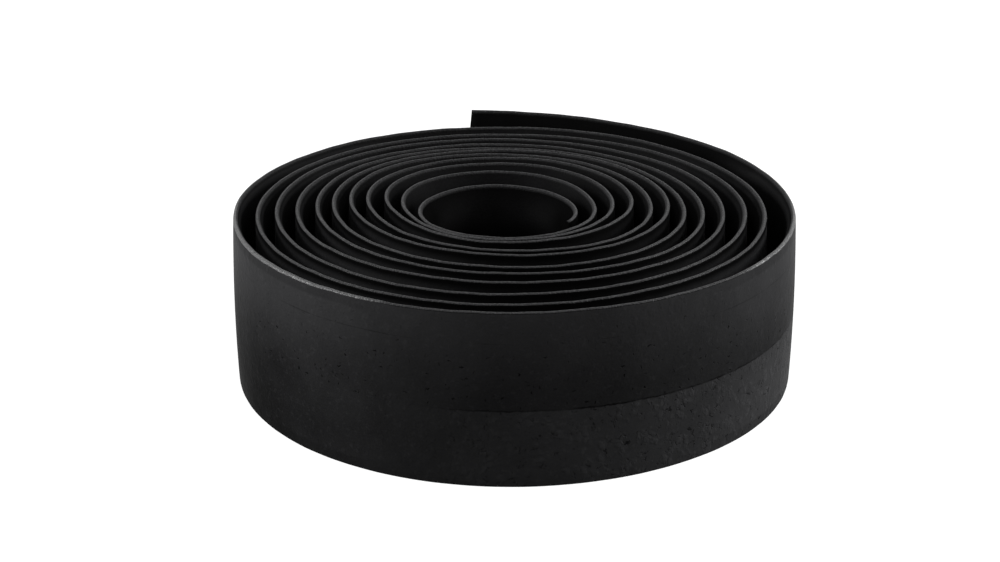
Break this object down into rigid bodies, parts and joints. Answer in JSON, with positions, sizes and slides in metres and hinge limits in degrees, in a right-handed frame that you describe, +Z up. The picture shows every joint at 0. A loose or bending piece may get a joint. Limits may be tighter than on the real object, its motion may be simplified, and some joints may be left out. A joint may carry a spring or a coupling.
{
  "type": "handlebar tape roll",
  "caption": "Loosely wound spiral roll of black foam handlebar tape standing on its long edge, with an open middle and a sprung free end.",
  "frame": {"origin": "on the floor, under the middle of the roll's box", "axes": "+Z up along the roll's axis, +Y towards the side where the free end springs away, +X to the right seen from the front"},
  "size_m": [0.0992, 0.109, 0.03],
  "materials": {
    "tape": "matt foam tape with a fine leathery grain on its outer face"
  },
  "bodies": {
    "root": {"handlebar_tape": "tape"}
  },
  "joints": []
}
